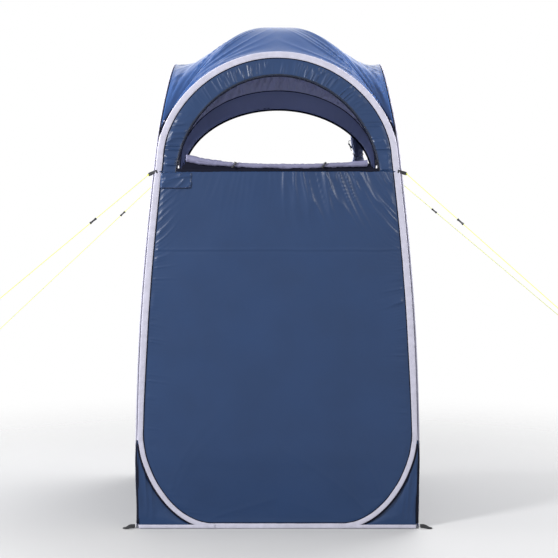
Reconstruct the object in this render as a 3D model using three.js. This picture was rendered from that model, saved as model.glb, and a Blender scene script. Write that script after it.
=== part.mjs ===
// Privacy shower tent: four sprung wall frames under a roof on two crossing poles.
// Millimetres, +Z up, origin on the floor at the centre of the base, front wall at -Y.
import * as THREE from 'three';

// Driving dimensions of the four equal walls
const BASE_HALF = 610; // centre line to a wall's mid-plane at the floor
const LEAN = 0.061; // inward lean of every wall, per unit of height
const HINGE_INSET = 6; // corner fold line, inside both wall planes
const EDGE_GAP = 1; // between a wall's edge and the fold line
const CORNER_RX = 300; // bottom corner of the sprung hoop, across
const CORNER_RZ = 400; // and up
const ARCH_W = 1560; // height where the arch of the hoop starts
const ARCH_RISE = 444;

// Hoop, its binding sleeve and the cloth it stretches
const WIRE_R = 1.5;
const WIRE_INSET = 6; // from the sleeve's outer edge to the wire
const SLEEVE_WIDTH = 22;
const SLEEVE_HALF = 3; // half the sleeve's thickness
const SLOT_HALF = 1.9; // half the fold inside the sleeve
const SLOT_END = 2; // from the wire out to the bight of the fold
const SEAM_GAP = 0.3; // half the butt joint at the bottom centre
const CLOTH = 1.8; // thickness of a wall panel
const CLOTH_INSET = 10; // panel edge, inside the sleeve
const TRIM_GAP = 0.4;
const GUSSET_GAP = 2.5; // between the hoop's rounded corner and the gusset

// Front window
const WINDOW_R = 420; // line of the zip round the arch
const WINDOW_W = 1480; // centre of that arch
const WINDOW_SILL = 1503; // middle of the sill band
const ZIP_HALF = 8; // half the width of the zip tape
const SILL_HALF = 7;
const ZIP_THICK = 3;

// Doorway in the rear wall
const DOOR_HALF = 455;
const DOOR_SPRING = 1510; // height where the elliptic head starts
const DOOR_RISE = 300;
const DOOR_SILL = 120;
const DOOR_RX = 190;
const DOOR_RZ = 260;
const DOOR_TAPE = 15;

// Roof
const CROWN_Z = 2165;
const POLE_END_Z = 1680;
const POLE_REACH = 488; // of a pole's end from the centre, along X and along Y
const POLE_POWER = 2.3;
const ARCH_POWER = 4;
const ROOF_THICK = 3;
const ROOF_INSET = 8; // roof cloth's edge, inside the wall plane
const GORE_SHARE = 0.98; // of the way from a gore's middle to the poles at its sides
const CROWN_SHARE = 0.04; // of the way from the crown to the arch, where a gore starts
const POLE_R = 3.5;
const POLE_DROPS = [14, 24]; // below the cloth, so that one pole passes under the other
const POLE_TIP = 0.97;

// Guylines
const TAB_W = 1497; // height of the guy tabs up the wall
const TAB_INSET = 15; // from the wall's edge
const TAB_SIZE = [4, 16]; // thickness and height
const LINE_R = 1.25;
const LINE_SPREAD = 0.6; // travel away from the tent's side, per unit of travel outwards
const RUNNER_R = 5;
const RUNNER_BORE = 2.2;
const RUNNER_LENGTH = 34;
const RUNNER_AT = 320; // along the line from the tab
const GUYLINES = [
  { name: 'front_left', wall: 'left', end: 1, tab: 16, drop: 12, reach: 600, fall: 0.88 },
  { name: 'rear_left', wall: 'left', end: -1, tab: 32, drop: 0, reach: 990, fall: 0.88 },
  { name: 'front_right', wall: 'right', end: -1, tab: 16, drop: 8, reach: 600, fall: 0.935 },
  { name: 'rear_right', wall: 'right', end: 1, tab: 32, drop: 0, reach: 990, fall: 0.788 },
];

const WALL_TURNS = { front: 0, right: Math.PI / 2, rear: Math.PI, left: -Math.PI / 2 };
const LEAN_ANGLE = Math.atan(LEAN);

const BLUE = { color: 0x3c5480, roughness: 0.55, metalness: 0 };
const TAPE = { color: 0xd2d1de, roughness: 0.8, metalness: 0 };
const STEEL = { color: 0x9a9da3, roughness: 0.35, metalness: 1 };
const BLACK = { color: 0x18191d, roughness: 0.6, metalness: 0 };
const FIBREGLASS = { color: 0x2a2b2e, roughness: 0.4, metalness: 0 };
const LAVENDER = { color: 0xc9c9dc, roughness: 0.7, metalness: 0 };
const LINE_YELLOW = { color: 0xd6e04a, roughness: 0.7, metalness: 0 };

const tent = new THREE.Group();

// Each wall has its own frame: X along the wall to the right as seen from outside,
// -Y out of the tent, Z up the leaning wall.
const walls = {};
for (const [name, turn] of Object.entries(WALL_TURNS)) {
  const turned = new THREE.Group();
  turned.rotation.z = turn;
  const leaning = new THREE.Group();
  leaning.position.set(0, -BASE_HALF, 0);
  leaning.rotation.x = -LEAN_ANGLE;
  turned.add(leaning);
  tent.add(turned);
  walls[name] = leaning;
}

function addMesh(parent, name, geometry, look) {
  const mesh = new THREE.Mesh(geometry, new THREE.MeshStandardMaterial(look));
  mesh.name = name;
  parent.add(mesh);
  return mesh;
}

function edgeHalf(height) {
  return BASE_HALF - HINGE_INSET - EDGE_GAP - LEAN * height;
}

function arc(cx, cy, rx, ry, from, to, steps) {
  const points = [];
  for (let i = 0; i <= steps; i += 1) {
    const angle = THREE.MathUtils.degToRad(from + ((to - from) * i) / steps);
    points.push(new THREE.Vector2(cx + rx * Math.cos(angle), cy + ry * Math.sin(angle)));
  }
  return points;
}

// The sprung hoop's outline, counter-clockwise from the bottom centre, inset from its outer edge
function hoopOutline(inset, seam = 0) {
  const cornerX = edgeHalf(CORNER_RZ) - CORNER_RX;
  const rx = CORNER_RX - inset;
  const rz = CORNER_RZ - inset;
  const archHalf = edgeHalf(ARCH_W) - inset;
  return [
    new THREE.Vector2(seam, inset),
    ...arc(cornerX, CORNER_RZ, rx, rz, -90, 0, 7),
    ...arc(0, ARCH_W, archHalf, ARCH_RISE - inset, 0, 180, 22),
    ...arc(-cornerX, CORNER_RZ, rx, rz, 180, 270, 7),
    new THREE.Vector2(-seam, inset),
  ];
}

// A path through given points, one extrusion step for each stretch between them
class PointPath extends THREE.Curve {
  constructor(points) {
    super();
    this.points = points;
  }

  getPoint(t, target = new THREE.Vector3()) {
    const last = this.points.length - 1;
    const place = Math.min(Math.max(t, 0), 1) * last;
    const i = Math.min(Math.floor(place + 1e-9), last - 1);
    return target.lerpVectors(this.points[i], this.points[i + 1], place - i);
  }

  getPointAt(t, target) {
    return this.getPoint(t, target);
  }

  getTangentAt(t, target = new THREE.Vector3()) {
    const last = this.points.length - 1;
    const i = Math.round(t * last);
    const before = this.points[Math.max(i - 1, 0)];
    const after = this.points[Math.min(i + 1, last)];
    return target.subVectors(after, before).normalize();
  }
}

function sweep(section, points) {
  const path = new PointPath(points);
  const shape = new THREE.Shape(section);
  return new THREE.ExtrudeGeometry(shape, { steps: points.length - 1, extrudePath: path, curveSegments: 1 });
}

function ring(radius, sides) {
  return arc(0, 0, radius, radius, 0, 360 - 360 / sides, sides - 1);
}

function box(x0, y0, x1, y1) {
  const corners = [[x0, y0], [x1, y0], [x1, y1], [x0, y1]];
  return corners.map(([x, y]) => new THREE.Vector2(x, y));
}

// A flat piece in a wall's plane: its outline is across and up the wall, centred on that plane
function plate(outline, thickness, holes = [], outwards = 0) {
  const shape = new THREE.Shape(outline);
  for (const hole of holes) shape.holes.push(new THREE.Path(hole));
  const geometry = new THREE.ExtrudeGeometry(shape, { depth: thickness, bevelEnabled: false });
  geometry.rotateX(Math.PI / 2);
  geometry.translate(0, thickness / 2 - outwards, 0);
  return geometry;
}

// A D-shaped outline: an arc standing on a level sill
function windowOutline(radius, sill, steps = 20) {
  const rise = THREE.MathUtils.radToDeg(Math.asin((sill - WINDOW_W) / radius));
  return arc(0, WINDOW_W, radius, radius, rise, 180 - rise, steps);
}

function doorOutline(grow) {
  const half = DOOR_HALF + grow;
  const cornerX = DOOR_HALF - DOOR_RX;
  const cornerW = DOOR_SILL + DOOR_RZ;
  return [
    ...arc(cornerX, cornerW, DOOR_RX + grow, DOOR_RZ + grow, -90, 0, 6),
    ...arc(0, DOOR_SPRING, half, DOOR_RISE + grow, 0, 180, 16),
    ...arc(-cornerX, cornerW, DOOR_RX + grow, DOOR_RZ + grow, 180, 270, 6),
  ];
}

function addHoop(side) {
  const path = hoopOutline(WIRE_INSET, SEAM_GAP).map((p) => new THREE.Vector3(p.x, 0, p.y));
  addMesh(walls[side], `${side}_hoop`, sweep(ring(WIRE_R, 6), path), STEEL);
  const inner = WIRE_INSET - SLEEVE_WIDTH;
  const fold = [
    [inner, -SLEEVE_HALF], [WIRE_INSET, -SLEEVE_HALF], [WIRE_INSET, SLEEVE_HALF], [inner, SLEEVE_HALF],
    [inner, SLOT_HALF], [SLOT_END, SLOT_HALF], [SLOT_END, -SLOT_HALF], [inner, -SLOT_HALF],
  ];
  const section = fold.map(([x, y]) => new THREE.Vector2(x, y));
  addMesh(walls[side], `${side}_sleeve`, sweep(section, path), TAPE);
}

function addPanel(side, holes = []) {
  addMesh(walls[side], `${side}_panel`, plate(hoopOutline(CLOTH_INSET), CLOTH, holes), BLUE);
}

// The cloth corner between the hoop's rounded bottom corner and the tent's square one
function addGussets(side) {
  const lowest = 0.5;
  const cornerX = edgeHalf(CORNER_RZ) - CORNER_RX;
  const curve = arc(cornerX, CORNER_RZ, CORNER_RX + GUSSET_GAP, CORNER_RZ + GUSSET_GAP, -8, -80, 7);
  const outline = [
    new THREE.Vector2(curve[7].x, lowest),
    new THREE.Vector2(edgeHalf(lowest), lowest),
    new THREE.Vector2(edgeHalf(curve[0].y), curve[0].y),
    ...curve,
  ];
  for (const [end, sign] of [['a', 1], ['b', -1]]) {
    const points = outline.map((p) => new THREE.Vector2(p.x * sign, p.y));
    addMesh(walls[side], `${side}_gusset_${end}`, plate(points, CLOTH), BLUE);
  }
}

// Zip slider with its pull: outline across and up, standing on the outside of the wall
function sliderGeometry() {
  const outline = [
    [-6, -8], [-3, -8], [-3, -34], [3, -34], [3, -8], [6, -8], [6, 8], [-6, 8],
  ].map(([x, y]) => new THREE.Vector2(x, y));
  return plate(outline, 4, [], ZIP_THICK / 2 + TRIM_GAP + 2);
}

function toggleGeometry() {
  return new THREE.CylinderGeometry(4, 4, 30, 10).rotateX(Math.PI / 2);
}

function addFrontWindow() {
  const front = walls.front;
  const sillTop = WINDOW_SILL + SILL_HALF;
  const outer = windowOutline(WINDOW_R + ZIP_HALF, WINDOW_SILL - SILL_HALF);
  const inner = windowOutline(WINDOW_R - ZIP_HALF, sillTop);
  addMesh(front, 'front_window_zip', plate(outer, ZIP_THICK, [inner]), BLACK);

  const rollPoints = [[-385, 44], [-290, 28], [-180, 17], [-60, 12], [60, 11.5], [180, 12.5], [290, 17], [380, 25]];
  const roll = rollPoints.map(([x, up]) => new THREE.Vector3(x, -3, sillTop + up));
  addMesh(front, 'front_window_cover', sweep(ring(10, 10), roll), LAVENDER);

  for (const [name, x] of [['front_toggle_a', -181], ['front_toggle_b', 194]]) {
    const toggle = addMesh(front, name, toggleGeometry(), BLACK);
    toggle.position.set(x, -18, sillTop + 14);
    toggle.rotation.y = 0.9;
  }

  const rest = Math.asin(61 / WINDOW_R);
  for (const [name, sign] of [['front_zip_slider_a', -1], ['front_zip_slider_b', 1]]) {
    const slider = addMesh(front, name, sliderGeometry(), BLACK);
    slider.position.set(sign * WINDOW_R * Math.cos(rest), 0, WINDOW_W + WINDOW_R * Math.sin(rest));
  }

  addMesh(front, 'front_patch', plate(box(-487, 1430, -358, 1493), 1.2, [], CLOTH / 2 + TRIM_GAP + 0.6), BLUE);
}

function addDoorway() {
  const rear = walls.rear;
  addMesh(rear, 'doorway_zip', plate(doorOutline(DOOR_TAPE), ZIP_THICK, [doorOutline(0)]), BLACK);

  const stations = [
    [1715, 44, 18], [1640, 46, 21], [1500, 42, 22], [1050, 36, 22], [600, 38, 22], [260, 40, 16], [175, 34, 11],
  ];
  const bundle = new THREE.BoxGeometry(1, 1, 1, 3, 2, stations.length - 1);
  shapeBundle(bundle, stations);
  addMesh(rear, 'door_bundle', bundle, BLUE);

  const toggle = addMesh(rear, 'door_toggle', toggleGeometry(), BLACK);
  toggle.position.set(-357, -27, 1640);

  const slider = addMesh(rear, 'door_zip_slider', sliderGeometry(), BLACK);
  slider.position.set(DOOR_HALF + DOOR_TAPE / 2, 0, 460);
}

// The tied-back door hangs outside its edge of the doorway as a soft rounded bundle.
// A station gives its height, half its width and half its depth.
function shapeBundle(geometry, stations) {
  const middle = -412;
  const clearance = 6; // from the wall's mid-plane
  const position = geometry.attributes.position;
  for (let i = 0; i < position.count; i += 1) {
    const level = Math.round((position.getZ(i) + 0.5) * (stations.length - 1));
    const [height, halfWide, halfDeep] = stations[stations.length - 1 - level];
    const x = position.getX(i) * 2;
    const y = position.getY(i) * 2;
    const round = Math.sqrt(1 - 0.45 * x * x);
    const waist = Math.sqrt(1 - 0.45 * y * y);
    position.setXYZ(i, middle + x * waist * halfWide, y * round * halfDeep - clearance - halfDeep, height);
  }
}

// Roof surface over the front quarter: along is 0 at the crown and 1 at the wall's arch,
// across runs from pole to pole
function poleHeight(along) {
  return CROWN_Z - (CROWN_Z - POLE_END_Z) * Math.abs(along) ** POLE_POWER;
}

function roofPoint(across, along) {
  const x = across * POLE_REACH;
  const archHalf = edgeHalf(ARCH_W);
  const archTop = ARCH_W + ARCH_RISE * Math.sqrt(1 - (x / archHalf) ** 2);
  const edgeZ = archTop * Math.cos(LEAN_ANGLE);
  const edgeY = BASE_HALF - ROOF_INSET - LEAN * edgeZ;
  const z = poleHeight(along) + (edgeZ - POLE_END_Z) * along ** ARCH_POWER;
  const y = POLE_REACH * along + (edgeY - POLE_REACH) * along ** 6;
  return new THREE.Vector3(x * along, -y, z);
}

// Offset from the roof's outer face to its inner one
function roofInwards(across, along) {
  const step = 0.005;
  const acrossRun = roofPoint(across + step, along).sub(roofPoint(across - step, along));
  const alongRun = roofPoint(across, along + step).sub(roofPoint(across, along - step));
  return acrossRun.cross(alongRun).setLength(ROOF_THICK);
}

// Splits the squares of a box's rear face along the same diagonals as those of its front face
function matchDiagonals(geometry) {
  const rearFace = geometry.groups[5];
  const index = geometry.index;
  for (let i = rearFace.start; i < rearFace.start + rearFace.count; i += 6) {
    const [a, b, d] = [0, 1, 2].map((k) => index.getX(i + k));
    const c = index.getX(i + 4);
    [a, b, c, a, c, d].forEach((corner, k) => index.setX(i + k, corner));
  }
}

function addRoofGore(side) {
  const geometry = new THREE.BoxGeometry(1, 1, 1, 10, 9, 1);
  matchDiagonals(geometry);
  const position = geometry.attributes.position;
  for (let i = 0; i < position.count; i += 1) {
    const across = position.getX(i) * 2 * GORE_SHARE;
    const along = THREE.MathUtils.lerp(1, CROWN_SHARE, position.getY(i) + 0.5);
    const point = roofPoint(across, along);
    if (position.getZ(i) < 0) point.add(roofInwards(across, along));
    position.setXYZ(i, point.x, point.y, point.z);
  }
  const turned = new THREE.Group();
  turned.rotation.z = WALL_TURNS[side];
  tent.add(turned);
  addMesh(turned, `roof_${side}`, geometry, BLUE);
}

function polePoint(along, drop, sign) {
  const reach = along * POLE_REACH;
  return new THREE.Vector3(reach, sign * reach, poleHeight(along) - drop);
}

function addPole(name, drop, sign, ends) {
  const steps = 20;
  const points = [];
  for (let i = 0; i <= steps; i += 1) points.push(polePoint(POLE_TIP * ((2 * i) / steps - 1), drop, sign));
  addMesh(tent, name, sweep(ring(POLE_R, 8), points), FIBREGLASS);
  for (const [end, along] of ends) {
    const tip = polePoint(POLE_TIP * along, drop, sign);
    const inner = polePoint(POLE_TIP * along * 0.97, drop, sign);
    addPocket(`pole_pocket_${end}`, tip, inner.sub(tip).normalize());
  }
}

// Webbing cup that takes a pole's tip
function addPocket(name, tip, direction) {
  const profile = [[0, -4], [8, -4], [8, 24], [4.6, 24], [4.6, -0.6], [0, -0.6]];
  const points = profile.map(([r, y]) => new THREE.Vector2(r, y));
  const pocket = addMesh(tent, name, new THREE.LatheGeometry(points, 12), BLACK);
  pocket.position.copy(tip);
  pocket.quaternion.setFromUnitVectors(new THREE.Vector3(0, 1, 0), direction);
}

function addHangingTab() {
  const length = 60;
  const tab = addMesh(tent, 'hanging_tab', new THREE.BoxGeometry(20, 3, length), BLACK);
  const lowestPole = CROWN_Z - POLE_DROPS[1] - POLE_R;
  tab.position.set(0, 0, lowestPole - TRIM_GAP - 1 - length / 2);
}

function addPegLoops(side) {
  const [wide, reach, thick] = [26, 44, 2];
  const hole = [14, 20];
  const outX = BASE_HALF + SLEEVE_HALF + TRIM_GAP;
  for (const [end, sign] of [['a', 1], ['b', -1]]) {
    const shape = new THREE.Shape(box(-wide / 2, 0, wide / 2, reach));
    shape.holes.push(new THREE.Path(box(-hole[0] / 2, reach - hole[1] - 6, hole[0] / 2, reach - 6)));
    const geometry = new THREE.ExtrudeGeometry(shape, { depth: thick, bevelEnabled: false });
    const turned = new THREE.Group();
    turned.rotation.z = WALL_TURNS[side];
    tent.add(turned);
    const loop = addMesh(turned, `${side}_peg_loop_${end}`, geometry, BLACK);
    loop.position.set(sign * (edgeHalf(0) - 15), -outX, 0);
    loop.rotation.z = Math.PI;
  }
}

// Guy tab, line and runner at one corner, hung from the sleeve of a side wall.
// The line starts at the tab's outer end, and drop is how far below the tab's middle it does.
function addGuyline({ name, wall, end, tab: length, drop, reach, fall }) {
  const [thick, height] = TAB_SIZE;
  const side = walls[wall];
  const tab = addMesh(side, `guy_tab_${name}`, new THREE.BoxGeometry(thick, length, height), BLACK);
  const tabX = end * (edgeHalf(TAB_W) - TAB_INSET);
  tab.position.set(tabX, -SLEEVE_HALF - TRIM_GAP - length / 2, TAB_W);

  tent.updateMatrixWorld(true);
  const start = side.localToWorld(new THREE.Vector3(tabX, -SLEEVE_HALF - TRIM_GAP - length - 1.5, TAB_W - drop));
  const outwards = Math.sign(start.x);
  const away = Math.sign(start.y);
  const run = new THREE.Vector3(outwards, away * LINE_SPREAD, -fall);
  const points = [0, 1 / 3, 2 / 3, 1].map((part) => start.clone().addScaledVector(run, part * reach));
  addMesh(tent, `guyline_${name}`, sweep(ring(LINE_R, 8), points), LINE_YELLOW);

  const direction = run.clone().normalize();
  const half = RUNNER_LENGTH / 2;
  const profile = [[RUNNER_BORE, -half], [RUNNER_R, -half], [RUNNER_R, half], [RUNNER_BORE, half], [RUNNER_BORE, -half]];
  const points2d = profile.map(([r, y]) => new THREE.Vector2(r, y));
  const runner = addMesh(tent, `runner_${name}`, new THREE.LatheGeometry(points2d, 12), BLACK);
  runner.position.copy(start).addScaledVector(direction, RUNNER_AT);
  runner.quaternion.setFromUnitVectors(new THREE.Vector3(0, 1, 0), direction);
}

for (const side of Object.keys(walls)) {
  addHoop(side);
  addGussets(side);
  addRoofGore(side);
}
addPanel('front', [windowOutline(WINDOW_R + ZIP_HALF + TRIM_GAP, WINDOW_SILL - SILL_HALF - TRIM_GAP)]);
addPanel('rear', [doorOutline(DOOR_TAPE + TRIM_GAP)]);
addPanel('left');
addPanel('right');
addFrontWindow();
addDoorway();
addPole('roof_pole_a', POLE_DROPS[0], 1, [['front_left', -1], ['rear_right', 1]]);
addPole('roof_pole_b', POLE_DROPS[1], -1, [['rear_left', -1], ['front_right', 1]]);
addHangingTab();
addPegLoops('left');
addPegLoops('right');
GUYLINES.forEach(addGuyline);

export default tent;
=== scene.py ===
"""Privacy shower tent: the looks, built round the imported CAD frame. Metres, +Z up, front wall at -Y."""

import math

import bmesh
import bpy
import numpy as np
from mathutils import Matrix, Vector


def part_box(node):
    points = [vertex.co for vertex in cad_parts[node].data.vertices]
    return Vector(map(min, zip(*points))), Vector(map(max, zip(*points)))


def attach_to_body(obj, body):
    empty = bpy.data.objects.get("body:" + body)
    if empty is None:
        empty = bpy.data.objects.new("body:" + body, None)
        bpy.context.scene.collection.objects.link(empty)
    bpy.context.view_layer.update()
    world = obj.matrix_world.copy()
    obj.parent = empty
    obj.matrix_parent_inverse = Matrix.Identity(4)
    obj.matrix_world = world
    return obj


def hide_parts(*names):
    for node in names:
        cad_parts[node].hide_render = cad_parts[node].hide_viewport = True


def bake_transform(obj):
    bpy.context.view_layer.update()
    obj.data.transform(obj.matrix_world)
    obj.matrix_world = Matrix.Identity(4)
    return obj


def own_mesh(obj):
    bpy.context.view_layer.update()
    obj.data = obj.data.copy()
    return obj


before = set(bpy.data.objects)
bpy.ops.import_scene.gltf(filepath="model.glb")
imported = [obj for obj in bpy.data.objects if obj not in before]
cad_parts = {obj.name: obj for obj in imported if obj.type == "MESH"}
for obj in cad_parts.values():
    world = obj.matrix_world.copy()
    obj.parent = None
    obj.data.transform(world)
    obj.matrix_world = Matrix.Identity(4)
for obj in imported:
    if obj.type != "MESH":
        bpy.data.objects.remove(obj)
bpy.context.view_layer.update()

# The four equal leaning walls, as the CAD part has them
BASE_HALF = 0.61  # centre line to a wall's mid-plane at the floor
LEAN = 0.061  # inward lean, per unit of height
EDGE_INSET = 0.007  # from the corner of two wall planes to a wall's edge
CORNER_RX, CORNER_RZ = 0.3, 0.4  # bottom corner of a sprung hoop
ARCH_W, ARCH_RISE = 1.56, 0.444  # where the hoop's arch starts, and its height
COS, SIN = math.cos(math.atan(LEAN)), math.sin(math.atan(LEAN))
TURNS = {"front": 0.0, "right": math.pi / 2, "rear": math.pi, "left": -math.pi / 2}

# How the sprung walls stand off their straight planes: out at the middle, in at the floor and at the arches
BOW_OUT = 0.017
FOOT_IN = 0.019
HEAD_IN = 0.030
HEAD_SAG = 0.014

WIRE_INSET = 0.0028
TAPE_WIDTH = 0.0265
TAPE_HALF = 0.0031
STITCH_IN = 0.0145
CLOTH_INSET = 0.014
CLOTH_THICK = 0.0007
STITCH_PITCH = 0.0042
WIRE_R, ROD_R, SHADE_LINE_R = 0.0015, 0.0035, 0.0023
SEAM_FOOT, SEAM_TOP = 0.02, 1.715  # where the corner seams start and end
GUSSET_FOOT = 0.003  # a gusset's lower edge
GUSSET_SHADE_WIDE = 0.0125

WINDOW_R, WINDOW_W = 0.42, 1.48
SILL_LOW, SILL_TOP = 1.496, 1.510
CROSS_SEAM_W = 1.172
SLIDER_RISE = 0.061
PATCH_LEFT, PATCH_LOW, PATCH_WIDE, PATCH_TALL = -0.487, 1.430, 0.129, 0.063
DOOR_HALF, DOOR_SPRING, DOOR_RISE = 0.455, 1.51, 0.3
DOOR_SILL, DOOR_RX, DOOR_RZ = 0.12, 0.19, 0.26
DOOR_SLIDER_W = 0.46
ZIP_OUT = 0.0075  # from the doorway's edge to the middle of its zip
BUNDLE_U, BUNDLE_OUT, TIE_W = -0.399, 0.0265, 1.6  # the tied-back door and its tie
PLEATS = 11

CROWN_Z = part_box("roof_front")[1].z
POLE_END_Z, POLE_REACH = 1.68, 0.488
POLE_POWER, ARCH_POWER = 2.3, 4
POLE_SPLAY = 0.0115
POLE_TIP = 0.97
POLES = {"a": (1, 0.014), "b": (-1, 0.024)}  # which diagonal, and how far under the roof
ROOF_INSET = 0.008

# Guylines: starts at the guy tabs, and the fall for each metre that a line runs outwards
LINE_STARTS = {
    "front_left": (-0.5403, -0.4967, 1.4835),
    "rear_left": (-0.5557, 0.4967, 1.4965),
    "front_right": (0.5401, -0.4967, 1.4875),
    "rear_right": (0.5557, 0.4967, 1.4965),
}
LINE_FALLS = {"front_left": 0.88, "rear_left": 0.88, "front_right": 0.935, "rear_right": 0.788}
LINE_REACH = {"front": 0.6, "rear": 0.99}
LINE_SPREAD = 0.6
TAB_HEIGHT = 1.499  # of the front guy tabs
LINE_DIAMETER = 0.0025
KNOT_SIZE = 0.0042


# ---- numbers and places


def smooth(x, low, high):
    t = np.clip((np.asarray(x, float) - low) / (high - low), 0, 1)
    return t * t * (3 - 2 * t)


def bell(x, middle, spread):
    return np.exp(-(((x - middle) / spread) ** 2))


def noise(x, y, seed=0):
    """Smooth noise from -1 to 1 with one swing per unit of x and y."""
    x, y = np.broadcast_arrays(np.asarray(x, float), np.asarray(y, float))
    cell_x, cell_y = np.floor(x), np.floor(y)
    fx, fy = x - cell_x, y - cell_y
    fx, fy = fx * fx * (3 - 2 * fx), fy * fy * (3 - 2 * fy)

    def corner(dx, dy):
        h = np.sin((cell_x + dx) * 127.1 + (cell_y + dy) * 311.7 + seed * 74.7) * 43758.5453
        return (h - np.floor(h)) * 2 - 1

    low = corner(0, 0) * (1 - fx) + corner(1, 0) * fx
    high = corner(0, 1) * (1 - fx) + corner(1, 1) * fx
    return low * (1 - fy) + high * fy


def crease(x, y, seed=0):
    """Sharp-topped folds, from 0 to 1."""
    return (1 - np.abs(noise(x, y, seed))) ** 3


def edge_half(w):
    return BASE_HALF - EDGE_INSET - LEAN * w


CORNER_X = edge_half(CORNER_RZ) - CORNER_RX


def outline_half(w, inset):
    """Half the width inside the hoop's outline at height w up the wall, inset from its edge."""
    w = np.asarray(w, float)
    low = np.clip((CORNER_RZ - w) / (CORNER_RZ - inset), 0, 1)
    high = np.clip((w - ARCH_W) / (ARCH_RISE - inset), 0, 1)
    corner = CORNER_X + (CORNER_RX - inset) * np.sqrt(1 - low**2)
    arch = (edge_half(ARCH_W) - inset) * np.sqrt(1 - high**2)
    return np.where(w < CORNER_RZ, corner, np.where(w > ARCH_W, arch, edge_half(w) - inset))


def bow(z):
    out = BOW_OUT * np.sin(np.pi * np.clip((z - 0.25) / 1.27, 0, 1))
    return out - FOOT_IN * (1 - smooth(z, 0, 0.33)) - HEAD_IN * smooth(z, 1.45, 2.05)


def bowed(points):
    """Points of the straight-sided frame, moved in or out with the sprung walls."""
    z = points[..., 2:]
    grow = 1 + bow(z) / (BASE_HALF - LEAN * z)
    return np.concatenate((points[..., :2] * grow, z), -1)


def sagged(points):
    """The head of the tent hangs a little lower midway between its front and rear arches."""
    x, y, z = np.moveaxis(points, -1, 0)
    dip = np.cos(np.clip(y / 0.5, -1, 1) * np.pi / 2) ** 2
    return np.stack((x, y, z - HEAD_SAG * dip * smooth(z, 1.5, 1.95)), -1)


def turned(points, angle):
    c, s = math.cos(angle), math.sin(angle)
    x, y = points[..., 0], points[..., 1]
    return np.stack((c * x - s * y, s * x + c * y, points[..., 2]), -1)


def on_wall(side, u, w, out=0.0):
    """Points u across and w up a wall, out of its mid-plane, in the row frame."""
    u, w, out = np.broadcast_arrays(np.asarray(u, float), np.asarray(w, float), np.asarray(out, float))
    y = -BASE_HALF - out * COS + w * SIN
    z = out * SIN + w * COS
    return sagged(turned(bowed(np.stack((u, y, z), -1)), TURNS[side]))


def towards(side, *direction):
    """A direction or a place given for the front wall, turned to another wall."""
    return turned(np.array(direction, float), TURNS[side])


OUT = {side: towards(side, 0, -COS, SIN) for side in TURNS}


def unit(directions):
    return directions / np.linalg.norm(directions, axis=-1, keepdims=True)


def full_turn(count):
    return np.linspace(0, 2 * np.pi, count, endpoint=False)


def arc(cx, cw, rx, rw, start, end, count):
    a = np.radians(np.linspace(start, end, count))
    return np.stack((cx + rx * np.cos(a), cw + rw * np.sin(a)), -1)


LOOP_COUNTS = (14, 26, 60, 70)  # steps along the foot, round a corner, up a side and over half the arch


def closed_outline(corner, arch, counts):
    """(u, w) points, counter-clockwise from the bottom centre; corner and arch are (u, w, radius, radius)."""
    flat, bend, side, head = counts
    turn, top = arc(*corner, -90, 0, bend), arc(*arch, 0, 90, head)
    base = np.linspace((0, turn[0, 1]), turn[0], flat + 1)[:-1]
    rise = np.linspace(turn[-1], top[0], side + 2)[1:-1]
    half = np.concatenate((base, turn, rise, top))
    return np.concatenate((half, half[1:-1][::-1] * (-1, 1)))


def hoop_loop(inset, counts=LOOP_COUNTS):
    corner = (CORNER_X, CORNER_RZ, CORNER_RX - inset, CORNER_RZ - inset)
    return closed_outline(corner, (0, ARCH_W, edge_half(ARCH_W) - inset, ARCH_RISE - inset), counts)


def door_loop(grow, counts=LOOP_COUNTS):
    corner = (DOOR_HALF - DOOR_RX, DOOR_SILL + DOOR_RZ, DOOR_RX + grow, DOOR_RZ + grow)
    return closed_outline(corner, (0, DOOR_SPRING, DOOR_HALF + grow, DOOR_RISE + grow), counts)


def lengths(points):
    """How far along a line each of its points is."""
    steps = np.linalg.norm(np.diff(points, axis=0), axis=1)
    return np.concatenate(([0], np.cumsum(steps)))


def evenly(points, spacing):
    """The same line with its points about that far apart."""
    along = lengths(points)
    at = np.linspace(0, along[-1], max(int(along[-1] / spacing), 2) + 1)
    return np.stack([np.interp(at, along, points[:, k]) for k in range(points.shape[1])], -1)


def tangents(points, closed=False):
    if closed:
        run = np.roll(points, -1, 0) - np.roll(points, 1, 0)
    else:
        run = np.gradient(points, axis=0)
    return unit(run)


# ---- meshes


def mesh_object(name, vertices, faces, *materials, flat=False):
    mesh = bpy.data.meshes.new(name)
    mesh.from_pydata([tuple(map(float, v)) for v in vertices], [], faces)
    mesh.validate()
    if not flat:
        mesh.shade_smooth()
    for m in materials:
        mesh.materials.append(m)
    thing = bpy.data.objects.new(name, mesh)
    bpy.context.scene.collection.objects.link(thing)
    return thing


def grid_faces(rows, cols, wrap_rows=False, wrap_cols=False, start=0):
    faces = []
    for i in range(rows if wrap_rows else rows - 1):
        this_row, next_row = start + i * cols, start + (i + 1) % rows * cols
        for j in range(cols if wrap_cols else cols - 1):
            after = (j + 1) % cols
            faces.append((this_row + j, this_row + after, next_row + after, next_row + j))
    return faces


def grid_object(name, points, *materials, wrap_rows=False, wrap_cols=False):
    faces = grid_faces(*points.shape[:2], wrap_rows, wrap_cols)
    return mesh_object(name, points.reshape(-1, 3), faces, *materials)


def patches_object(name, grids, *materials, wrap_cols=False):
    """One mesh from several grids, welded where they meet."""
    vertices, faces, start = [], [], 0
    for points in grids:
        rows, cols = points.shape[:2]
        vertices.append(points.reshape(-1, 3))
        faces += grid_faces(rows, cols, False, wrap_cols, start)
        start += rows * cols
    thing = mesh_object(name, np.concatenate(vertices), faces, *materials)
    edit(thing, lambda work: bmesh.ops.remove_doubles(work, verts=work.verts, dist=2e-5))
    return thing


def even_normals(work):
    bmesh.ops.recalc_face_normals(work, faces=work.faces)


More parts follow.
